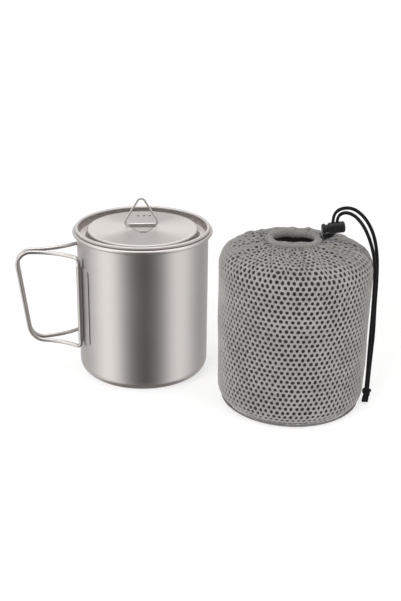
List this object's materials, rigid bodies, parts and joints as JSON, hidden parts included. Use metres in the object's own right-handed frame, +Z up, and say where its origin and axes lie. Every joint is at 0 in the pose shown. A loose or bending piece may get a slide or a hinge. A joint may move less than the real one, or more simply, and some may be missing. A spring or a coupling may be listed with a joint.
{
  "type": "cooking pot set",
  "caption": "Cylindrical camping pot with two fold-away wire handles, a pressed lid with a folding pull ring, and a mesh drawstring storage bag.",
  "frame": {"origin": "centre of the pot's base, on the ground", "axes": "+Z up along the pot's axis; the handles point along -X; the vent holes of the lid are towards +Y and the bag stands towards +X and -Y"},
  "size_m": [0.2503, 0.1606, 0.1419],
  "materials": {
    "titanium_sheet": "fine sandblasted titanium",
    "titanium_wire": "satin drawn titanium wire",
    "mesh_fabric": "grey knitted polyester mesh",
    "hem_fabric": "grey woven polyester",
    "cord": "black braided cord",
    "lock_plastic": "black moulded plastic",
    "spring_steel": "drawn spring wire"
  },
  "bodies": {
    "pot": {"pot_body": "titanium_sheet", "front_handle_bracket": "titanium_sheet", "rear_handle_bracket": "titanium_sheet"},
    "front_handle": {"front_handle_wire": "titanium_wire"},
    "rear_handle": {"rear_handle_wire": "titanium_wire"},
    "lid": {"lid_pan": "titanium_sheet", "lid_ring_bracket": "titanium_sheet"},
    "pull_ring": {"lid_ring": "titanium_wire"},
    "bag": {"bag_side_panel": "mesh_fabric", "bag_base_panel": "mesh_fabric", "bag_hem_channel": "hem_fabric", "drawcord_loop": "cord", "drawcord_tail_a": "cord", "drawcord_tail_b": "cord", "cord_knot": "cord", "cord_lock_barrel": "lock_plastic", "cord_lock_spring": "spring_steel"},
    "lock_plunger": {"cord_lock_plunger": "lock_plastic"}
  },
  "joints": [
    {"name": "front_handle_fold", "type": "hinge", "parent": "pot", "child": "front_handle", "pos_m": [-0.04617, -0.01772, 0], "axis": [0, 0, 1], "range_deg": [0, 156]},
    {"name": "rear_handle_fold", "type": "hinge", "parent": "pot", "child": "rear_handle", "pos_m": [-0.04617, 0.01772, 0], "axis": [0, 0, -1], "range_deg": [0, 156]},
    {"name": "lid_lift", "type": "slide", "parent": "pot", "child": "lid", "axis": [0, 0, 1], "range_m": [0, 0.06]},
    {"name": "ring_fold", "type": "hinge", "parent": "lid", "child": "pull_ring", "pos_m": [0, 0.0025, 0.11096], "axis": [1, 0, 0], "range_deg": [-85, 85]},
    {"name": "bag_lift", "type": "slide", "parent": "pot", "child": "bag", "axis": [0, 0, 1], "range_m": [0, 0.06]},
    {"name": "cord_lock_press", "type": "slide", "parent": "bag", "child": "lock_plunger", "axis": [0.9945, 0, 0.1045], "range_m": [0, 0.0015], "stiffness_N_per_m": 1500, "deforming": ["cord_lock_spring"]}
  ]
}
